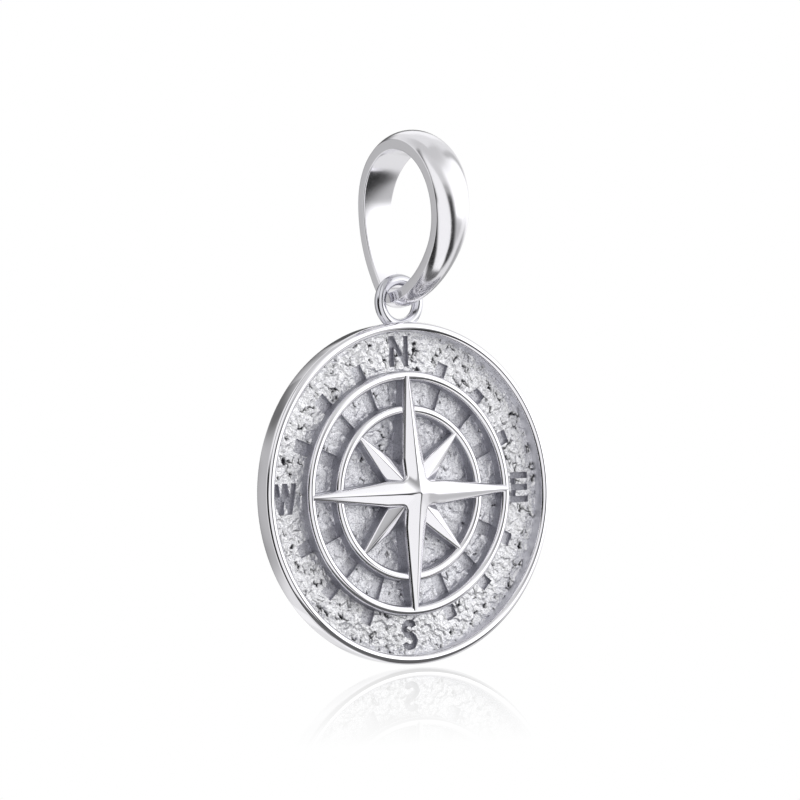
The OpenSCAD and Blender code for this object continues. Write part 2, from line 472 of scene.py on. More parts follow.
@dataclass(frozen=True)
class CastSilver:
    """Sterling silver as it comes from a rough mould, rhodium plated.

    It gives the eye a frosted, sparkling ground: pits fine as sand, with painted shade in its soft wrinkles,
    hairline cracks and steep sides.
    """

    name: str
    colour: str
    pit_tone_and_wrinkle_shade_colour: str
    roughness: float = 0.38
    grain_mm: float = 0.08
    grain_strength: float = 0.5
    pit_share: float = 0.8
    pit_levels: tuple[float, float] = (0.48, 0.68)
    wrinkle_mm: float = 0.6
    wrinkle_shade_share: float = 0.3
    wrinkle_width: float = 0.035
    crack_shade_colour: str = "232328"

    def material(self) -> bpy.types.Material:
        """Builds the frosted finish, with the painted shade of its cracks and steep sides from the piece's own
        attribute.
        """
        made, shader, place = metal(self.name)
        add = partial(add_node, made.node_tree)
        grain, folds = (
            add("ShaderNodeTexNoise", {"Vector": place, "Scale": 1 / (size * MM), "Detail": 3.0}).outputs[0]
            for size in (self.grain_mm, self.wrinkle_mm)
        )
        low, high = spread(self.roughness)
        rough = add("ShaderNodeMapRange", {0: grain, 3: low, 4: high})
        bump = add("ShaderNodeBump",
                   {"Height": grain, "Strength": self.grain_strength, "Distance": self.grain_mm * MM})
        start, end = self.pit_levels
        pits = add("ShaderNodeMapRange", {0: grain, 1: start, 2: end, 4: self.pit_share}).outputs[0]
        # the grey wrinkle lines are painted shade of folds in the ground; the grey pits are grain of random tone
        centred = add("ShaderNodeMath", {0: folds, 1: 0.5}, operation="SUBTRACT").outputs[0]
        fold = add("ShaderNodeMath", {0: centred}, operation="ABSOLUTE").outputs[0]
        wrinkles = add("ShaderNodeMapRange",
                       {0: fold, 2: self.wrinkle_width, 3: self.wrinkle_shade_share, 4: 0.0}).outputs[0]
        # painted shade of the cracks and steep slopes, laid in near black
        crack = add("ShaderNodeAttribute", attribute_name="crack").outputs["Fac"]
        colour: object = linear(self.colour)
        layers = ((pits, self.pit_tone_and_wrinkle_shade_colour), (wrinkles, self.pit_tone_and_wrinkle_shade_colour), (crack, self.crack_shade_colour))
        for share, other in layers:
            inputs = {0: share, 6: colour, 7: linear(other)}
            colour = add("ShaderNodeMix", inputs, data_type="RGBA").outputs[2]
        fill(shader, {"Roughness": rough.outputs[0], "Base Color": colour, "Normal": bump.outputs[0]})
        return made


# Medallion


@dataclass(frozen=True)
class Arm:
    """Two opposite arms of the rose that lie in one line, as a bar with two flat facets and a soft ridge."""

    reach: float
    half_w: float
    tip_half_w: float
    shoulder: float
    top_h: float
    tip_top_h: float
    facet_angle: float
    ridge_soft: float
    edge_round: float
    worn_loss: float = 0.35

    def half_width(self, along: np.ndarray) -> np.ndarray:
        """Returns half the arm's width at each distance from the centre."""
        taper = np.clip((np.abs(along) - self.shoulder) / (self.reach - self.shoulder), 0, 1)
        return self.half_w + (self.tip_half_w - self.half_w) * taper

    def roof(self, across: np.ndarray, along: np.ndarray, worn: np.ndarray | float = 0.0) -> np.ndarray:
        """Returns the height of the arm's roof.

        Args:
            across: Distances from the ridge.
            along: Distances from the centre of the rose.
            worn: How far the polishing has rounded the roof, from 0 to 1.

        Returns:
            Heights above the ground.
        """
        half = self.half_width(along)
        top = self.top_h + (self.tip_top_h - self.top_h) * np.clip(np.abs(along) / self.reach, 0, 1)
        part, soft = np.abs(across) / half, self.ridge_soft
        flat = (np.sqrt(part**2 + soft**2) - soft) / (math.hypot(1, soft) - soft)
        fall = half * math.tan(math.radians(self.facet_angle)) * (1 - self.worn_loss * worn)
        return top - fall * ((1 - worn) * flat + worn * part**2)


@dataclass(frozen=True)
class Relief:
    """How the rough mould shapes the cast grounds. Reaches are in millimetres."""

    warp_per_mm: float = 1.4
    warp_reach: float = 0.9
    nugget_soft: float = 0.12
    nugget_share: float = 1.3
    fine_per_mm: float = 4.5
    fine_share: float = 0.9
    ground_level: float = 1.1
    crack_lean: float = -0.35
    crack_stretch: tuple[float, float, float] = (1.5, 0.7, 1.0)
    crack_edges: tuple[float, float] = (0.014, 0.046)
    patch_per_mm: float = 1.5
    patch_edges: tuple[float, float] = (0.97, 1.03)
    # the darkest painted shade on the ground's steep slopes
    steep_shade: float = 0.7
    upward: float = 0.4


@dataclass
class Medallion:
    """The round casting with its rings, rose, marks, letters and loop. All sizes are in millimetres."""

    mirror: bpy.types.Material
    shaded_wire: bpy.types.Material
    satin: bpy.types.Material
    wall: bpy.types.Material
    brushed: bpy.types.Material
    outer_cast: bpy.types.Material
    inner_cast: bpy.types.Material
    recess: bpy.types.Material
    seat: Seat = field(default_factory=Seat.from_frame)
    thickness: float = 1.45
    floor_t: float = 0.5
    base_t: float = 0.2
    rim_w: float = 0.62
    back_bevel: float = 0.15
    large_ring_r: float = 7.86
    small_ring_r: float = 5.68
    ring_w: float = 0.62
    ring_h: float = 0.85
    crest_ease: float = 0.015
    wall_draft: float = 0.05
    mark_w: float = 0.87
    mark_l: float = 1.05
    mark_depth: float = 0.25
    letter_h: float = 1.96
    stroke_w: float = 0.4
    n_w: float = 1.5
    e_w: float = 1.38
    w_w: float = 1.8
    letter_terminal: float = 18
    wire_d: float = 0.74
    hole_d: float = 2.15
    loop_rise: float = 0.2
    mark_places: int = 16
    long_arm: Arm = Arm(reach=7.55, half_w=0.8, tip_half_w=0.21, shoulder=2.2, top_h=1.9, tip_top_h=0.95,
                        facet_angle=27, ridge_soft=0.12, edge_round=0.18)
    short_arm: Arm = Arm(reach=5.37, half_w=1.07, tip_half_w=0.12, shoulder=0.0, top_h=1.42, tip_top_h=0.8,
                         facet_angle=27, ridge_soft=0.1, edge_round=0.1)
    arm_sink: float = 0.08
    ground_sink: float = 0.05
    crossing_soft: float = 0.34
    crossing_reach: float = 2.4
    east_wear: float = 0.85
    wear_start: float = 0.3
    wear_run: float = 1.3
    corner_round: float = 0.35
    relief: Relief = Relief()

    @property
    def rim_inner_r(self) -> float:
        """The radius of the rim's inner wall."""
        return self.seat.radius - self.rim_w

    def place(self, piece: bpy.types.Object) -> None:
        """Moves a piece that was modelled flat to its place."""
        piece.data.transform(self.seat.matrix())
        piece.data.update()

    def crest(self, inner: float, width: float, foot: float, top: float) -> list[tuple[float, float]]:
        """Returns the section of a wall with a round crest, from its outer foot to its inner foot.

        Args:
            inner: Radius of the inner wall.
            width: Width of the wall.
            foot: Height of the foot.
            top: Height of the crest.

        Returns:
            Points as radius and height.
        """
        radius = width / 2 + self.crest_ease
        lean = math.degrees(math.acos(width / 2 / radius))
        steps = 26
        crest = arc((inner + width / 2, top - radius), radius, lean, 180 - lean, steps)
        return [(inner + width, foot), *crest, (inner, foot)]

    def turned(self, name: str, section: Sequence[tuple[float, float]], segments: int,
               finishes: dict[int, Finish] | None = None) -> bpy.types.Object:
        """Turns a closed section round the medallion's axis.

        Args:
            name: The piece's name.
            section: Points as radius and height, anticlockwise.
            segments: How many steps the turn has.
            finishes: The finish of each stretch of the section that isn't polished, by its number.

        Returns:
            The piece, still lying flat.
        """
        turn = np.linspace(0, 2 * math.pi, segments, endpoint=False)[:, None]
        radius, height = np.array(section).T
        points = np.stack([radius * np.cos(turn), radius * np.sin(turn), height + 0 * turn], -1)
        faces = grid_faces(segments, len(section), wrap_rows=True, wrap_columns=True)
        faces = [face[::-1] for face in faces]
        chosen = finishes or {}
        kept = [chosen.get(i, Finish.POLISHED) for _ in range(segments) for i in range(len(section))]
        return new_object(name, points.reshape(-1, 3), faces, kept)

    def shell(self) -> bpy.types.Object:
        """Builds the back, the side wall and the rim."""
        radius, bevel = self.seat.radius, self.back_bevel
        wall_steps, bevel_steps, around, pole = 12, 6, 360, 0.01
        rim = self.crest(self.rim_inner_r, self.rim_w, bevel, self.thickness)
        front = rim[1][1]
        wall = [
            (radius - self.wall_draft * ((front - height) / front) ** 2, height)
            for height in np.linspace(bevel, front, wall_steps + 1)[:-1]
        ]
        edge = arc((wall[0][0] - bevel, bevel), bevel, -90, 0, bevel_steps)
        section = [(pole, 0.0), *edge[:-1], *wall, *rim[1:-1]]
        inner_wall = len(section) - 1
        section += [(self.rim_inner_r, self.base_t), (pole, self.base_t)]
        return self.turned("medallion_shell", section, around, {0: Finish.BRUSHED, inner_wall: Finish.SATIN})

    def ring(self, name: str, outer: float) -> bpy.types.Object:
        """Builds one raised ring."""
        around = 300
        section = self.crest(outer - self.ring_w, self.ring_w, self.base_t, self.floor_t + self.ring_h)
        # both walls of the ring take the wall finish, whose darker colour is painted shade
        return self.turned(name, section, around, {0: Finish.WALL, len(section) - 2: Finish.WALL})

    def letters(self) -> bpy.types.Object:
        """Builds the cutter for the four letters, as upright prisms from their floor to above the ground."""
        height, stroke, gap = self.letter_h, self.stroke_w, self.n_w - self.stroke_w
        cut = height * stroke / gap
        north = [(0, 0), (stroke, 0), (stroke, height - cut), (gap, 0), (self.n_w, 0), (self.n_w, height),
                 (gap, height), (gap, cut), (stroke, height), (0, height)]
        low, high = (height - stroke) / 2, (height + stroke) / 2
        east = [(0, 0), (self.e_w, 0), (self.e_w, stroke), (stroke, stroke), (stroke, low), (self.e_w, low),
                (self.e_w, high), (stroke, high), (stroke, height - stroke), (self.e_w, height - stroke),
                (self.e_w, height), (0, height)]
        step = (self.w_w - stroke) / 4
        valley, peak = height * stroke / (2 * step), height * (1 - stroke / (2 * step))
        west = [(0, height), (step, 0), (step + stroke, 0), (2 * step + stroke / 2, peak), (3 * step, 0),
                (3 * step + stroke, 0), (4 * step + stroke, height), (4 * step, height),
                (3 * step + stroke / 2, valley), (2 * step + stroke, height), (2 * step, height),
                (step + stroke / 2, valley), (stroke, height)]
        outer = (height + stroke) / 4
        inner, middle, end = outer - stroke, outer - stroke / 2, self.letter_terminal
        upper, lower = (outer, height / 2 + middle), (outer, height / 2 - middle)
        wide, tight = 24, 16
        south = (arc(upper, outer, end, 270, wide) + arc(lower, inner, 90, end - 180, tight)[1:]
                 + arc(lower, outer, end - 180, 90, wide) + arc(upper, inner, 270, end, tight)[1:])
        letter_r = (self.large_ring_r + self.rim_inner_r) / 2
        places = [(north, self.n_w, 0, 1), (east, self.e_w, 1, 0), (south, 2 * outer, 0, -1),
                  (west, self.w_w, -1, 0)]
        points: list[tuple[float, float, float]] = []
        faces: list[tuple[int, ...]] = []
        for outline, width, x, y in places:
            start, count = len(points), len(outline)
            for level in (self.floor_t - self.mark_depth, self.thickness):
                corner = x * letter_r - width / 2, y * letter_r - height / 2
                points += [(corner[0] + u, corner[1] + v, level) for u, v in outline]
            faces.append(tuple(range(start + count - 1, start - 1, -1)))
            faces.append(tuple(range(start + count, start + 2 * count)))
            faces += [
                (start + i, start + (i + 1) % count, start + count + (i + 1) % count, start + count + i)
                for i in range(count)
            ]
        return new_object("letter_cutter", np.array(points), faces)

    def band(self, name: str, inner: float, outer: float, pitch: float) -> bpy.types.Object:
        """Builds a flat ring with a fine top grid, which the cast relief then shapes.

        Args:
            name: The piece's name.
            inner: The inner radius.
            outer: The outer radius.
            pitch: The size of a grid step at the middle of the band.

        Returns:
            The piece, still lying flat.
        """
        across = max(2, round((outer - inner) / pitch))
        around = round(math.pi * (inner + outer) / pitch)
        section = [(inner + (outer - inner) * i / across, self.floor_t) for i in range(across + 1)][::-1]
        section += [(inner, self.base_t - self.ground_sink), (outer, self.base_t - self.ground_sink)]
        return self.turned(name, section, around)

    def rose_outline(self, along: np.ndarray) -> np.ndarray:
        """Returns half the width of a long arm, with the rounded corner where it meets its neighbour."""
        arm, corner = self.long_arm, self.corner_round
        reach = np.clip(arm.half_w + corner - np.abs(along), 0, corner)
        return arm.half_width(along) + corner - np.sqrt(corner**2 - reach**2)

    def rose_height(self, x: np.ndarray, y: np.ndarray, inside: np.ndarray) -> np.ndarray:
        """Returns the height of the crossed long arms above the ground.

        Args:
            x: Distances to the east.
            y: Distances to the north.
            inside: Distances from each point to the nearest edge of the rose.

        Returns:
            The heights.
        """
        east = np.clip((x - self.wear_start) / self.wear_run, 0, 1)
        worn = self.east_wear * east * east * (3 - 2 * east)
        one, two = self.long_arm.roof(x, y), self.long_arm.roof(y, x, worn)
        top = (one + two + np.sqrt((one - two) ** 2 + self.crossing_soft**2)) / 2
        radius = self.long_arm.edge_round
        near = np.clip(radius - inside, 0, radius)
        return top - radius + np.sqrt(radius**2 - near**2)

    def long_arms(self) -> bpy.types.Object:
        """Builds the four long arms as one crossed roof with soft ridges over dull walls darkened with painted
        shade.
        """
        arm, shape = self.long_arm, Patchwork()
        start, near = arm.half_w + self.corner_round * (1 - math.sqrt(0.5)), self.crossing_reach
        near_rows, far_rows = 26, 60
        shares = across_shares(0.72, 18, 17)
        rows = np.concatenate([np.linspace(start, near, near_rows), np.linspace(near, arm.reach, far_rows)[1:]])
        half = self.rose_outline(rows)[:, None]
        x, y = shares * half, rows[:, None] + 0 * shares
        inside = self.inside(x, y, half)
        for quarter in range(4):
            spin = np.array(Matrix.Rotation(-math.radians(90 * quarter), 2))
            flat = np.stack([x, y], -1) @ spin.T
            z = self.floor_t + self.rose_height(flat[..., 0], flat[..., 1], inside)
            top = np.concatenate([flat, z[..., None]], -1)
            shape.add(on_walls(top, self.floor_t - self.arm_sink, first_row=False), walled=True)
        x, y = np.meshgrid(shares * start, shares * start)
        z = self.floor_t + self.rose_height(x, y, self.inside(x, y, None))
        shape.add(np.stack([x, y, z], -1), walled=False)
        return shape.closed("rose_long_arms")

    def inside(self, x: np.ndarray, y: np.ndarray, half: np.ndarray | None) -> np.ndarray:
        """Returns the distance from points of the rose to its nearest edge."""
        reach = self.long_arm.half_w + self.corner_round
        near = np.hypot(reach - np.abs(x), reach - np.abs(y)) - self.corner_round
        if half is None:
            return near
        return np.where(np.abs(y) < reach, np.maximum(near, 0), np.maximum(half - np.abs(x), 0))

    def short_arms(self) -> bpy.types.Object:
        """Builds the four short arms as two crossed ridged bars between the long ones, over dull walls darkened with
        painted shade.
        """
        arm, shape = self.short_arm, Patchwork()
        shares = across_shares(0.75, 14, 13)
        rows = np.linspace(-arm.reach, arm.reach, 141)
        half = arm.half_width(rows)[:, None]
        x, y = shares * half, rows[:, None] + 0 * shares
        radius = np.minimum(arm.edge_round, half)
        near = np.clip(radius - (half - np.abs(x)), 0, radius)
        z = self.floor_t + arm.roof(x, y) - radius + np.sqrt(radius**2 - near**2)
        bar = on_walls(np.stack([x, y, z], -1), self.floor_t - self.arm_sink, first_row=True)
        for turn in (45, -45):
            spin = np.array(Matrix.Rotation(math.radians(turn), 3, "Z"))
            shape.add(bar @ spin.T, walled=True)
        return shape.closed("rose_short_arms")

    def loop(self) -> bpy.types.Object:
        """Builds the loop of round wire that stands on the rim."""
        around, sides, wire = 128, 48, self.wire_d / 2
        middle = (self.hole_d + self.wire_d) / 2
        centre = self.seat.radius + self.loop_rise + self.hole_d / 2
        turn = np.linspace(0, 2 * math.pi, around, endpoint=False)[:, None]
        round_wire = np.linspace(0, 2 * math.pi, sides, endpoint=False)
        out = middle + wire * np.cos(round_wire)
        z = self.thickness / 2 + wire * np.sin(round_wire)
        points = np.stack([out * np.cos(turn), centre + out * np.sin(turn), z + 0 * turn], -1)
        faces = [face[::-1] for face in grid_faces(around, sides, wrap_rows=True, wrap_columns=True)]
        return new_object("hanging_loop", points.reshape(-1, 3), faces)

    def relief_tree(self) -> bpy.types.NodeTree:
        """Builds the tree that gives a ground its cast relief and cuts its marks and letters."""
        sizes = ("Nugget size", "Relief height", "Crack size", "Crack depth", "Crack share", "Seed", "Steep start",
                 "Steep end", "Mark width", "Mark start", "Mark end", "Mark floor")
        finishes = ("Ground material", "Recess material", "Wall material")
        sockets = [(size, "NodeSocketFloat") for size in sizes] + [("Letters", "NodeSocketObject")]
        sockets += [(finish, "NodeSocketMaterial") for finish in finishes]
        tree, given = new_tree("cast_ground", sockets)
        add, put, look = partial(add_node, tree), given.outputs, self.relief
        seed, place = put["Seed"], add("GeometryNodeInputPosition").outputs[0]

        # nuggets and fine grain
        warp = add("ShaderNodeTexNoise", {"Vector": place, "W": seed, "Scale": look.warp_per_mm, "Detail": 3.0},
                   noise_dimensions="4D")
        bend = add("ShaderNodeVectorMath", {0: warp.outputs["Color"], 1: (0.5, 0.5, 0.5)}, operation="SUBTRACT")
        bent = add("ShaderNodeVectorMath", {0: bend.outputs[0], 1: (look.warp_reach,) * 3, 2: place},
                   operation="MULTIPLY_ADD").outputs[0]
        per_nugget, per_crack = (
            add("ShaderNodeMath", {0: 1.0, 1: put[size]}, operation="DIVIDE").outputs[0]
            for size in ("Nugget size", "Crack size")
        )
        cells = add("ShaderNodeTexVoronoi",
                    {"Vector": bent, "W": seed, "Scale": per_nugget, "Smoothness": look.nugget_soft},
                    voronoi_dimensions="4D", feature="SMOOTH_F1")
        nuggets = add("FunctionNodeSeparateColor", {0: cells.outputs["Color"]}).outputs[0]
        grain = add("ShaderNodeTexNoise", {"Vector": place, "W": seed, "Scale": look.fine_per_mm, "Detail": 4.0},
                    noise_dimensions="4D").outputs[0]
        coarse, fine = (
            add("ShaderNodeMath", {0: pattern, 1: share}, operation="MULTIPLY").outputs[0]
            for pattern, share in ((nuggets, look.nugget_share), (grain, look.fine_share))
        )
        height = add("ShaderNodeMath", {0: coarse, 1: fine}, operation="ADD").outputs[0]
        height = add("ShaderNodeMath", {0: height, 1: look.ground_level}, operation="SUBTRACT").outputs[0]
        height = add("ShaderNodeMath", {0: height, 1: put["Relief height"]}, operation="MULTIPLY").outputs[0]

        # hairline cracks, drawn out along one direction and shown in patches
        crack_seed, patch_seed = (
            add("ShaderNodeMath", {0: seed, 1: shift}, operation="ADD").outputs[0] for shift in (7.0, 3.0)
        )
        leaning = add("ShaderNodeVectorRotate", {"Vector": bent, "Angle": look.crack_lean}, rotation_type="Z_AXIS")
        drawn = add("ShaderNodeVectorMath", {0: leaning.outputs[0], 1: look.crack_stretch}, operation="MULTIPLY")
        gap = add("ShaderNodeTexVoronoi", {"Vector": drawn.outputs[0], "W": crack_seed, "Scale": per_crack},
                  voronoi_dimensions="4D", feature="DISTANCE_TO_EDGE").outputs["Distance"]
        gap_mm = add("ShaderNodeMath", {0: gap, 1: put["Crack size"]}, operation="MULTIPLY").outputs[0]
        start, end = look.crack_edges
        line = add("ShaderNodeMapRange", {0: gap_mm, 1: start, 2: end, 3: 1.0, 4: 0.0},
                   interpolation_type="SMOOTHSTEP").outputs[0]
        patch = add("ShaderNodeTexNoise",
                    {"Vector": place, "W": patch_seed, "Scale": look.patch_per_mm, "Detail": 2.0},
                    noise_dimensions="4D").outputs[0]
        share = add("ShaderNodeMath", {0: patch, 1: put["Crack share"]}, operation="ADD").outputs[0]
        start, end = look.patch_edges
        shown = add("ShaderNodeMapRange", {0: share, 1: start, 2: end}).outputs[0]
        # the hairline cracks sink the ground and also carry its painted shade
        crack = add("ShaderNodeMath", {0: line, 1: shown}, operation="MULTIPLY").outputs[0]
        sunk = add("ShaderNodeMath", {0: crack, 1: put["Crack depth"]}, operation="MULTIPLY").outputs[0]
        height = add("ShaderNodeMath", {0: height, 1: sunk}, operation="SUBTRACT").outputs[0]

        # the upper face is raised, and its cracks and steep sides are marked for painted shade
        normal = add("GeometryNodeInputNormal").outputs[0]
        up = add("ShaderNodeSeparateXYZ", {0: normal}).outputs[2]
        rise = add("ShaderNodeCombineXYZ", {2: height}).outputs[0]
        top = add("FunctionNodeCompare", {0: up, 1: look.upward}, operation="GREATER_THAN").outputs[0]
        depth = add("GeometryNodeCaptureAttribute", {"Geometry": put["Geometry"]})
        depth.capture_items.new("FLOAT", "crack")
        tree.links.new(crack, depth.inputs[1])
        moved = add("GeometryNodeSetPosition",
                    {"Geometry": depth.outputs[0], "Selection": top, "Offset": rise}).outputs[0]
        # steep slopes get painted shade as well, joined with the cracks' painted shade in one attribute
        steep = add("ShaderNodeMapRange",
                    {0: up, 1: put["Steep start"], 2: put["Steep end"], 3: 0.0, 4: look.steep_shade},
                    interpolation_type="SMOOTHSTEP").outputs[0]
        dark = add("ShaderNodeMath", {0: depth.outputs[1], 1: steep}, operation="MAXIMUM").outputs[0]
        stored = add("GeometryNodeStoreNamedAttribute", {"Geometry": moved, "Name": "crack", "Value": dark})

        # marks and letters, whose floors and walls keep their number through the cut; mark walls and the whole
        # letters take the wall material, whose darker colour is painted shade
        cutters = self.cutter_nodes(tree, put)
        cut = add("GeometryNodeMeshBoolean", {0: stored.outputs[0], 1: cutters}, operation="DIFFERENCE",
                  solver="MANIFOLD").outputs[0]
        number = add("GeometryNodeInputNamedAttribute", {"Name": "cut"}).outputs[0]
        chosen = [
            add("FunctionNodeCompare", {0: number, 1: level}, operation="GREATER_THAN").outputs[0]
            for level in (-1.0, 0.5, 1.5)
        ]
        end_tree(tree, cut, zip(chosen, [put[finish] for finish in finishes]))
        return tree

    def cutter_nodes(self, tree: bpy.types.NodeTree,
                     put: bpy.types.bpy_prop_collection) -> bpy.types.NodeSocket:
        """Adds the nodes for the mark cutters, one at each place that the long arms leave free.

        Args:
            tree: The tree of the cast grounds.
            put: The tree's inputs by name.

        Returns:
            The cutters of the marks and the letters, with the number of each face: 1 on floors and 2 on walls.
        """
        add, places = partial(add_node, tree), self.mark_places
        ring = add("GeometryNodeMeshCircle", {"Vertices": places, "Radius": 1.0}).outputs[0]
        number = add("GeometryNodeInputIndex").outputs[0]
        quarter = add("ShaderNodeMath", {0: number, 1: places / 4}, operation="MODULO").outputs[0]
        free = add("FunctionNodeCompare", {0: quarter, 1: 0.5}, operation="GREATER_THAN").outputs[0]
        spans = ((put["Mark end"], put["Mark start"]), (self.thickness, put["Mark floor"]))
        length, depth = (
            add("ShaderNodeMath", {0: far, 1: near}, operation="SUBTRACT").outputs[0] for far, near in spans
        )
        size = add("ShaderNodeCombineXYZ", {0: length, 1: put["Mark width"], 2: depth}).outputs[0]
        block = add("GeometryNodeMeshCube", {"Size": size}).outputs[0]
        sums = [add("ShaderNodeMath", {0: far, 1: near}, operation="ADD").outputs[0] for far, near in spans]
        middle, height = (add("ShaderNodeMath", {0: both, 1: 0.5}, operation="MULTIPLY").outputs[0] for both in sums)
        place = add("ShaderNodeCombineXYZ", {0: middle, 2: height}).outputs[0]
        seated = add("GeometryNodeTransform", {"Geometry": block, "Translation": place}).outputs[0]
        step = 2 * math.pi / places
        angle = add("ShaderNodeMath", {0: number, 1: step}, operation="MULTIPLY").outputs[0]
        turn = add("ShaderNodeCombineXYZ", {2: angle}).outputs[0]
        axis = add("ShaderNodeCombineXYZ").outputs[0]
        centred = add("GeometryNodeSetPosition", {"Geometry": ring, "Position": axis}).outputs[0]
        copies = add("GeometryNodeInstanceOnPoints",
                     {"Points": centred, "Selection": free, "Instance": seated, "Rotation": turn}).outputs[0]
        blocks = add("GeometryNodeRealizeInstances", {0: copies}).outputs[0]
        facing = add("ShaderNodeSeparateXYZ", {0: add("GeometryNodeInputNormal").outputs[0]}).outputs[2]
        tilt = add("ShaderNodeMath", {0: facing}, operation="ABSOLUTE").outputs[0]
        level = add("FunctionNodeCompare", {0: tilt, 1: 0.5}, operation="GREATER_THAN").outputs[0]
        floor_or_wall = add("ShaderNodeMath", {0: 2.0, 1: level}, operation="SUBTRACT").outputs[0]
        letters = add("GeometryNodeObjectInfo", {0: put["Letters"]}).outputs["Geometry"]
        marked, lettered = (
            add("GeometryNodeStoreNamedAttribute", {"Geometry": cutter, "Name": "cut", "Value": value},
                domain="FACE").outputs[0]
            for cutter, value in ((blocks, floor_or_wall), (letters, 2.0))
        )
        both = add("GeometryNodeJoinGeometry", {0: marked})
        tree.links.new(lettered, both.inputs[0])
        return both.outputs[0]

    def grounds(self) -> list[bpy.types.Object]:
        """Builds the three rough grounds between the rings, with their marks and letters sunk in."""
        tree, cutter, lap, beyond = self.relief_tree(), self.letters(), 0.12, 20.0
        wall, ring = self.large_ring_r - self.ring_w, self.ring_w / 2
        # the ground's steep slopes get painted shade from Steep start to Steep end; mark walls and letters take the
        # wall material, darker with painted shade
        common = {
            "Mark width": self.mark_w, "Mark floor": self.floor_t - self.mark_depth,
            "Recess material": self.recess, "Wall material": self.wall, "Steep start": 0.68, "Steep end": 0.42,
        }
        smooth = common | {"Nugget size": 0.6, "Relief height": 0.08, "Crack depth": 0.05, "Crack share": 0.4,
                           "Ground material": self.inner_cast}
        plans = {
            "outer_ground": (
                {"inner": self.large_ring_r - lap, "outer": self.rim_inner_r + lap, "pitch": 0.044},
                common | {
                    "Nugget size": 0.42, "Relief height": 0.11, "Crack size": 0.7, "Crack depth": 0.1,
                    "Crack share": 0.44, "Seed": 1.0, "Letters": cutter, "Ground material": self.outer_cast,
                    "Mark start": self.large_ring_r - ring, "Mark end": self.large_ring_r + self.mark_l,
                },
            ),
            "inner_ground": (
                {"inner": self.small_ring_r - lap, "outer": wall + lap, "pitch": 0.046},
                smooth | {"Crack size": 0.8, "Seed": 5.0, "Mark start": self.small_ring_r - ring,
                          "Mark end": self.large_ring_r - ring},
            ),
            "centre_ground": (
                {"inner": 0.5, "outer": self.small_ring_r - self.ring_w + lap, "pitch": 0.05},
                smooth | {"Crack size": 0.9, "Seed": 9.0, "Mark start": beyond, "Mark end": beyond + 1},
            ),
        }
        made = []
        for name, (size, values) in plans.items():
            piece = self.band(name, **size)
            run_tree(piece, tree, values)
            made.append(piece)
        bpy.data.objects.remove(cutter)
        return made

    def build(self) -> None:
        """Builds every piece of the medallion and dresses it."""
        loop = self.loop()
        polished = [
            self.shell(),
            self.ring("large_ring", self.large_ring_r),
            self.ring("small_ring", self.small_ring_r),
            self.long_arms(),
            self.short_arms(),
            loop,
        ]
        for piece in polished:
            # the loop takes the darker polished silver, whose colour is painted shade
            first = self.shaded_wire if piece is loop else self.mirror
            for finish in (first, self.wall, self.brushed, self.satin):
                piece.data.materials.append(finish)
            self.place(piece)
            finish_piece(piece, Body.MEDALLION)
        for piece in self.grounds():
            self.place(piece)
            finish_piece(piece, Body.MEDALLION)


# Bail


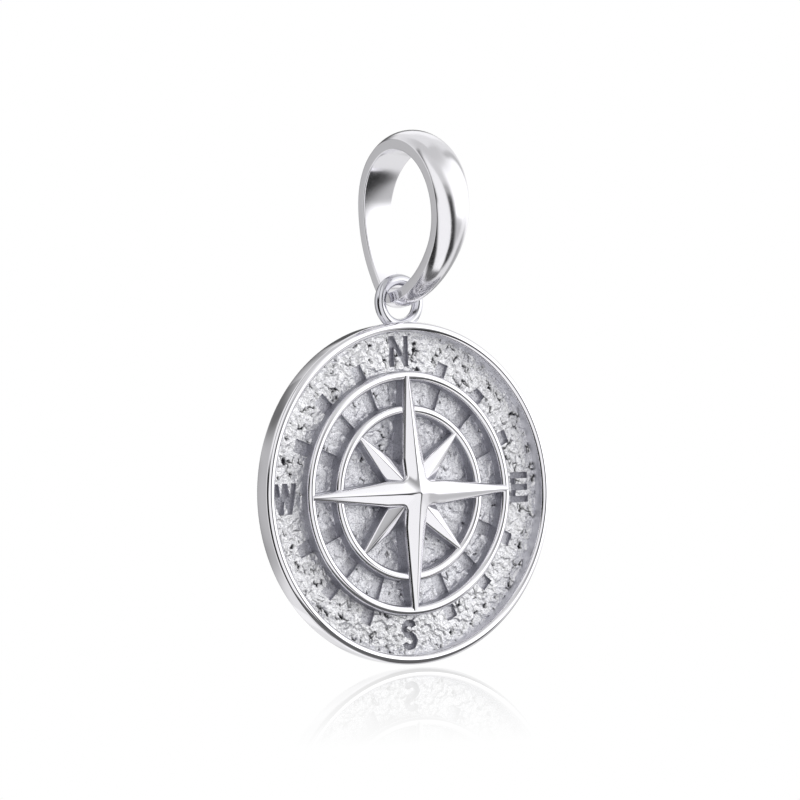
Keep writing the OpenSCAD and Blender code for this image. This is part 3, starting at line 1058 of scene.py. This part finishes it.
@dataclass
class Bail:
    """The teardrop band that hangs on the chain. All sizes are in millimetres."""

    polish: bpy.types.Material
    hinge: Vector
    eye_r: float = 3.88
    eye_reach: float = 4.74
    side_angle: float = 13.7
    band_t: float = 0.66
    head_w: float = 2.88
    dome_h: float = 0.611
    foot_w: float = 1.67
    foot_r: float = 0.828
    lean: float = 23.5
    edge_round: float = 0.1
    crease_round: float = 0.07

    def outline(self) -> list[tuple[float, float, float]]:
        """Returns the eye's outline as across, up and the angle of the outward normal in degrees."""
        step = self.eye_r - self.foot_r
        side = math.radians(self.side_angle)
        shift = (self.eye_reach**2 - step**2) / (2 * (step - self.eye_reach * math.sin(side)))
        centre = (-shift * math.cos(side), self.eye_reach + shift * math.sin(side))
        foot = math.degrees(math.atan2(-centre[1], -centre[0]))

        # right side, top, left side and foot
        stretches = (
            (centre, self.eye_r + shift, foot, -self.side_angle, 48),
            ((0.0, self.eye_reach), self.eye_r, -self.side_angle, 180 + self.side_angle, 120),
            ((-centre[0], centre[1]), self.eye_r + shift, 180 + self.side_angle, 180 - foot, 48),
            ((0.0, 0.0), self.foot_r, 180 - foot, 360 + foot, 40),
        )
        return [
            (across, up, angle)
            for at, radius, start, end, steps in stretches
            for (across, up), angle in zip(arc(at, radius, start, end, steps),
                                           np.linspace(start, end, steps, endpoint=False))
        ]

    def section(self, width: float) -> list[tuple[float, float]]:
        """Returns the band's section as across and out: flat inside, low flat sides and a domed outside."""
        half, dome, edge = width / 2, self.dome_h * width / self.head_w, self.edge_round
        edge_steps, crease_steps, crown_steps = 5, 4, 40
        radius = (half * half + dome * dome) / (2 * dome)
        low = arc((half - edge, edge), edge, -90, 0, edge_steps)
        centre = self.band_t + dome - radius
        reach = math.degrees(math.asin(half / radius))
        ease = self.crease_round
        trim = ease * math.tan(math.radians(90 - reach) / 2)
        low += arc((half - ease, self.band_t - trim), ease, 0, 90 - reach, crease_steps)
        reach -= math.degrees(trim / radius)
        crown = arc((0, centre), radius, 90 - reach, 90 + reach, crown_steps)[1:-1]
        mirrored = [(-x, y) for x, y in low[::-1]]
        return low + crown + mirrored

    def build(self) -> None:
        """Builds the band and dresses it."""
        rows = []
        for across, up, angle in self.outline():
            width = self.foot_w + (self.head_w - self.foot_w) * max(0.0, up) / (self.eye_reach + self.eye_r)
            turn = math.radians(angle)
            rows.append([(x, across + out * math.cos(turn), up + out * math.sin(turn))
                         for x, out in self.section(width)])
        grid = np.array(rows)
        faces = grid_faces(*grid.shape[:2], wrap_rows=True, wrap_columns=True)
        piece = new_object("bail_band", grid.reshape(-1, 3), faces)
        leaning = Matrix.Rotation(math.radians(self.lean), 4, "X")
        piece.data.transform(Matrix.Translation(self.hinge) @ leaning @ Matrix.Scale(MM, 4))
        piece.data.materials.append(self.polish)
        finish_piece(piece, Body.BAIL)


# Studio


@dataclass(frozen=True)
class Card:
    """A soft edged card of the light tent, which ends at bearings, heights and slanted planes.

    Each edge is the angle where the card is gone and the one where it is full, in degrees.
    """

    brightness: float
    bearing: Sequence[tuple[float, float]] = ()
    height: Sequence[tuple[float, float]] = ()
    lens: Sequence[tuple[float, float]] = ()
    box: Sequence[tuple[float, float]] = ()
    left: Sequence[tuple[float, float]] = ()
    upper_tones: Sequence[tuple[float, tuple[float, float]]] = ()


class Tent:
    """The light tent round the pendant: white paper, with cards laid over it one after the other."""

    paper = 0.95
    lens_plane = (0.904, 0.048, 0.425)
    box_plane = (-0.542, 0.733, 0.411)
    left_plane = (-0.583, 0.709, -0.401)
    cards = (
        # the walls on the right of the lens and at the back left
        Card(0.8, lens=[(-4, 0)]),
        Card(0.8, bearing=[(-75, -125)]),
        # the back, dim at eye level, and the dark corner behind the top of the rim
        Card(0.5, bearing=[(-118, -140)], height=[(-30, -22), (34, 20)]),
        Card(0.25, bearing=[(-150, -168)], height=[(-24, -16), (14, 8)]),
        Card(0.25, bearing=[(150, 160)], height=[(-24, -16), (14, 8)]),
        Card(0.16, bearing=[(-148, -164)], height=[(14, 24), (40, 26)]),
        Card(0.1, bearing=[(136, 144)], height=[(8, 12), (38, 22)]),
        Card(1.0, bearing=[(122, 130), (166, 158)], height=[(22, 30), (56, 42)]),
        # dim ceiling
        Card(0.6, bearing=[(130, 84)], height=[(44, 74)], lens=[(-8, 12)]),
        # under the soft box
        Card(0.55, bearing=[(10, 20), (72, 58)], height=[(-44, -30), (-2, -16)]),
        Card(0.38, bearing=[(84, 96), (142, 132)], height=[(-36, -28), (-4, -12)]),
        Card(0.16, bearing=[(88, 64)], height=[(-28, -48)], lens=[(-4, 0), (27, 9)]),
        # soft box, its bright spot and the seam behind it
        Card(1.15, bearing=[(150, 135)], height=[(-22, 0), (66, 36)], lens=[(1, 24)], box=[(-2, -12)]),
        Card(1.6, bearing=[(24, 34), (80, 52)], height=[(-16, -4), (30, 12)]),
        Card(0.5, bearing=[(60, 80), (140, 122)], height=[(8, 16)], box=[(-12, -5), (4, -3)]),
        # seams beside the lens and on the left
        Card(0.03, bearing=[(-80, -40), (96, 72)], height=[(78, 60)], lens=[(-8, -3), (22, 5)],
             upper_tones=[(0.38, (10, 20)), (0.65, (24, 34))]),
        Card(0.18, bearing=[(-125, -105), (-30, -48)], height=[(0, 8)], left=[(-9, -2), (8, 0)]),
        Card(0.02, bearing=[(-104, -90), (-47, -60)], height=[(-86, -80), (28, 10)]),
        # plain white behind the pendant, which the floor mirrors
        Card(1.0, bearing=[(120, 132), (158, 152)], height=[(-8, -2), (10, 7)]),
    )

    def __init__(self, tree: bpy.types.NodeTree) -> None:
        """Starts from the direction of each ray: its bearing from the front, its height and its planes."""
        self.add = partial(add_node, tree)
        ray = self.add("ShaderNodeTexCoord").outputs["Generated"]
        parts = self.add("ShaderNodeSeparateXYZ", {0: ray}).outputs
        front = self.add("ShaderNodeMath", {0: parts[1], 1: -1.0}, operation="MULTIPLY").outputs[0]
        turn = self.add("ShaderNodeMath", {0: parts[0], 1: front}, operation="ARCTAN2").outputs[0]
        self.bearing = self.add("ShaderNodeMath", {0: turn}, operation="DEGREES").outputs[0]
        self.height = self.above(parts[2])
        self.lens, self.box, self.left = (
            self.above(self.add("ShaderNodeVectorMath", {0: ray, 1: facing},
                                operation="DOT_PRODUCT").outputs["Value"])
            for facing in (self.lens_plane, self.box_plane, self.left_plane)
        )

    def above(self, part: bpy.types.NodeSocket) -> bpy.types.NodeSocket:
        """Turns the part of a direction that points away from a plane into degrees above it."""
        angle = self.add("ShaderNodeMath", {0: part}, operation="ARCSINE").outputs[0]
        return self.add("ShaderNodeMath", {0: angle}, operation="DEGREES").outputs[0]

    def fade(self, angle: bpy.types.NodeSocket, gone: float, full: float) -> bpy.types.NodeSocket:
        """Returns a soft step.

        Args:
            angle: The angle that it follows, in degrees.
            gone: The angle where it is 0.
            full: The angle where it is 1.

        Returns:
            The step at each direction.
        """
        rising = gone < full
        ends = {1: min(gone, full), 2: max(gone, full), 3: float(not rising), 4: float(rising)}
        return self.add("ShaderNodeMapRange", {0: angle, **ends}, interpolation_type="SMOOTHSTEP").outputs[0]

    def share(self, card: Card) -> bpy.types.NodeSocket:
        """Returns how much of a card there is in each direction, as the product of its edges.

        Args:
            card: The card.

        Returns:
            1 on the card, 0 off it and between the two on its edges.
        """
        edges = ((card.bearing, self.bearing), (card.height, self.height), (card.lens, self.lens),
                 (card.box, self.box), (card.left, self.left))
        first, *others = [self.fade(angle, *pair) for pairs, angle in edges for pair in pairs]
        for other in others:
            first = self.add("ShaderNodeMath", {0: first, 1: other}, operation="MULTIPLY").outputs[0]
        return first

    def lay(self, under: bpy.types.NodeSocket | float, over: bpy.types.NodeSocket | float,
            share: bpy.types.NodeSocket) -> bpy.types.NodeSocket:
        """Lays one brightness over another, as far as its share goes."""
        return self.add("ShaderNodeMix", {0: share, 2: under, 3: over}).outputs[0]

    def brightness(self) -> bpy.types.NodeSocket:
        """Returns the tent's brightness in each direction, from the paper to the last card."""
        light = self.paper
        for card in self.cards:
            tone = card.brightness
            for upper, edge in card.upper_tones:
                tone = self.lay(tone, upper, self.fade(self.height, *edge))
            light = self.lay(light, tone, self.share(card))
        return light


@dataclass
class Studio:
    """The pale floor, the soft light and the camera at the photo's angle."""

    centre: Vector
    azimuth: float = -34.5
    elevation: float = 1.22
    roll: float = 2.2
    distance: float = 0.3
    pixels_per_mm: float = 15.6
    centre_px: tuple[float, float] = (412.5, 493.1)
    image_px: float = 800
    sensor_mm: float = 36
    clip: tuple[float, float] = (0.01, 10)
    floor_reach: float = 2.0
    floor_gap: float = 0.1
    mirror_share: float = 0.3
    mirror_reach: float = 66
    patch_centre: tuple[float, float] = (5, -8)
    lit_patch: tuple[float, float] = (4.5, 8)
    shade: float = 0.12
    shade_centre: tuple[float, float] = (0, -2)
    shade_reach: tuple[float, float] = (2.9, 3.6)
    shade_squeeze: float = 0.25

    def camera(self) -> None:
        """Places the camera so that the medallion's centre falls on its pixel."""
        turn, tilt = math.radians(self.azimuth), math.radians(self.elevation)
        back = Vector((math.sin(turn) * math.cos(tilt), -math.cos(turn) * math.cos(tilt), math.sin(tilt)))
        data = bpy.data.cameras.new("camera")
        data.sensor_width = self.sensor_mm
        data.lens = data.sensor_width * self.pixels_per_mm * self.distance / MM / self.image_px
        data.clip_start, data.clip_end = self.clip
        made = bpy.data.objects.new("camera", data)
        bpy.context.scene.collection.objects.link(made)
        made.location = self.centre + back * self.distance
        upright = (-back).to_track_quat("-Z", "Y").to_matrix()
        focal = self.pixels_per_mm * self.distance / MM
        right, down = (math.atan((at - self.image_px / 2) / focal) for at in self.centre_px)
        aim = Matrix.Rotation(right, 3, "Y") @ Matrix.Rotation(down, 3, "X")
        roll = Matrix.Rotation(-math.radians(self.roll), 3, "Z")
        made.rotation_euler = (upright @ roll @ aim).to_euler()
        bpy.context.scene.camera = made

    def floor(self, foot: float) -> None:
        """Lays the pale floor, glossy near the pendant and matt white further off.

        Args:
            foot: The height of the pendant's lowest point, in millimetres.
        """
        side, height = self.floor_reach, (foot - self.floor_gap) * MM
        corners = [(-side, -side), (side, -side), (side, side), (-side, side)]
        made = new_object("floor", np.array([(x, y, height) for x, y in corners]), [(0, 1, 2, 3)])
        material = bpy.data.materials.new("pale_floor")
        material.use_nodes = True
        material.node_tree.nodes.clear()
        add, white = partial(add_node, material.node_tree), (1, 1, 1, 1)
        place = add("ShaderNodeTexCoord").outputs["Object"]
        narrow = add("ShaderNodeVectorMath", {0: place, 1: (self.shade_squeeze, 1.0, 1.0)},
                     operation="MULTIPLY").outputs[0]
        away, from_patch, from_foot = (
            add("ShaderNodeVectorMath", {0: point, 1: (x * MM, y * MM, height)},
                operation="DISTANCE").outputs["Value"]
            for point, (x, y) in ((place, (0, 0)), (place, self.patch_centre), (narrow, self.shade_centre))
        )
        share = add("ShaderNodeMapRange",
                    {0: away, 1: 0.0, 2: self.mirror_reach * MM, 3: self.mirror_share, 4: 0.0}).outputs[0]
        glow = add("ShaderNodeEmission", {"Color": white, "Strength": 1.0}).outputs[0]
        gloss = add("ShaderNodeBsdfGlossy", {"Color": white, "Roughness": 0.0}).outputs[0]
        seen = add("ShaderNodeMixShader", {0: share, 1: glow, 2: gloss}).outputs[0]
        # what the metal mirrors of the floor: a lit patch, its own shade at the foot, and the tent beyond them
        lit, dim = (
            add("ShaderNodeMapRange", {0: distance, 1: near * MM, 2: far * MM, 3: 1.0, 4: 0.0},
                interpolation_type="SMOOTHSTEP").outputs[0]
            for distance, (near, far) in ((from_patch, self.lit_patch), (from_foot, self.shade_reach))
        )
        clear = add("ShaderNodeBsdfTransparent").outputs[0]
        patch = add("ShaderNodeMixShader", {0: lit, 1: clear, 2: glow}).outputs[0]
        shade = add("ShaderNodeEmission", {"Color": white, "Strength": self.shade}).outputs[0]
        mirrored = add("ShaderNodeMixShader", {0: dim, 1: patch, 2: shade}).outputs[0]
        camera_ray = add("ShaderNodeLightPath").outputs["Is Camera Ray"]
        mixed = add("ShaderNodeMixShader", {0: camera_ray, 1: mirrored, 2: seen}).outputs[0]
        add("ShaderNodeOutputMaterial", {0: mixed})
        made.data.materials.append(material)

    def light(self) -> None:
        """Sets the soft light all round, which shows as plain white behind the pendant."""
        world = bpy.data.worlds.new("studio")
        bpy.context.scene.world = world
        world.use_nodes = True
        world.node_tree.nodes.clear()
        tent, add = Tent(world.node_tree), partial(add_node, world.node_tree)
        camera_ray = add("ShaderNodeLightPath").outputs["Is Camera Ray"]
        strength = tent.lay(tent.brightness(), 1.0, camera_ray)
        glow = add("ShaderNodeBackground", {"Color": (1, 1, 1, 1), "Strength": strength}).outputs[0]
        add("ShaderNodeOutputWorld", {0: glow})
        bpy.context.scene.view_settings.view_transform = "Standard"


def main() -> None:
    """Builds the pendant, its light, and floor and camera."""
    logging.basicConfig(level=logging.INFO, format="%(message)s")
    # rings, rose and crest of the rim
    mirror = PolishedSilver("rhodium_plated_mirror").material()
    # bail
    polish = PolishedSilver("hand_polished_silver", roughness=0.15).material()
    # steep walls that no buff reaches, and the sunk letters: a dull cast finish whose darker colour is painted shade
    wall = CastSilver("dull_cast_wall_painted_shade", "b8b8c0", "8a8a92", 0.5, wrinkle_shade_share=0.1).material()
    # grounds, and the floors of their marks and letters
    # the grounds' grey wrinkle lines and near black cracks are painted shade
    outer_cast = CastSilver("frosted_cast_silver", "fdfdff", "c2c2ca", 0.3).material()
    inner_cast = CastSilver("fine_frosted_silver", "fafaff", "a8a8b0", 0.34, grain_mm=0.07,
                            wrinkle_shade_share=0.6).material()
    # floors of the marks, in a darker colour that is painted shade
    recess = CastSilver("recess_silver_painted_shade", "e2e2e8", "a4a4ac", 0.4, wrinkle_shade_share=0.0).material()
    # loop, in a polished silver whose darker colour is painted shade, and the rim's inner wall
    shaded_wire = PolishedSilver("wire_silver_painted_shade", colour="dcdce2", roughness=0.12).material()
    satin = PolishedSilver("satin_rim_silver", colour="e6e6ec", roughness=0.45).material()
    # back
    brushed = BrushedSilver().material()
    medallion = Medallion(mirror, shaded_wire, satin, wall, brushed, outer_cast, inner_cast, recess)
    medallion.build()
    joint = frame["joints"][0]
    Bail(polish, Vector(joint["pos_m"])).build()
    seat = medallion.seat
    centre = Vector((0, (seat.back_y - medallion.thickness) * MM, seat.centre_z * MM))
    studio = Studio(centre)
    studio.camera()
    studio.floor(seat.centre_z - seat.radius)
    studio.light()


if __name__ == "__main__":
    main()
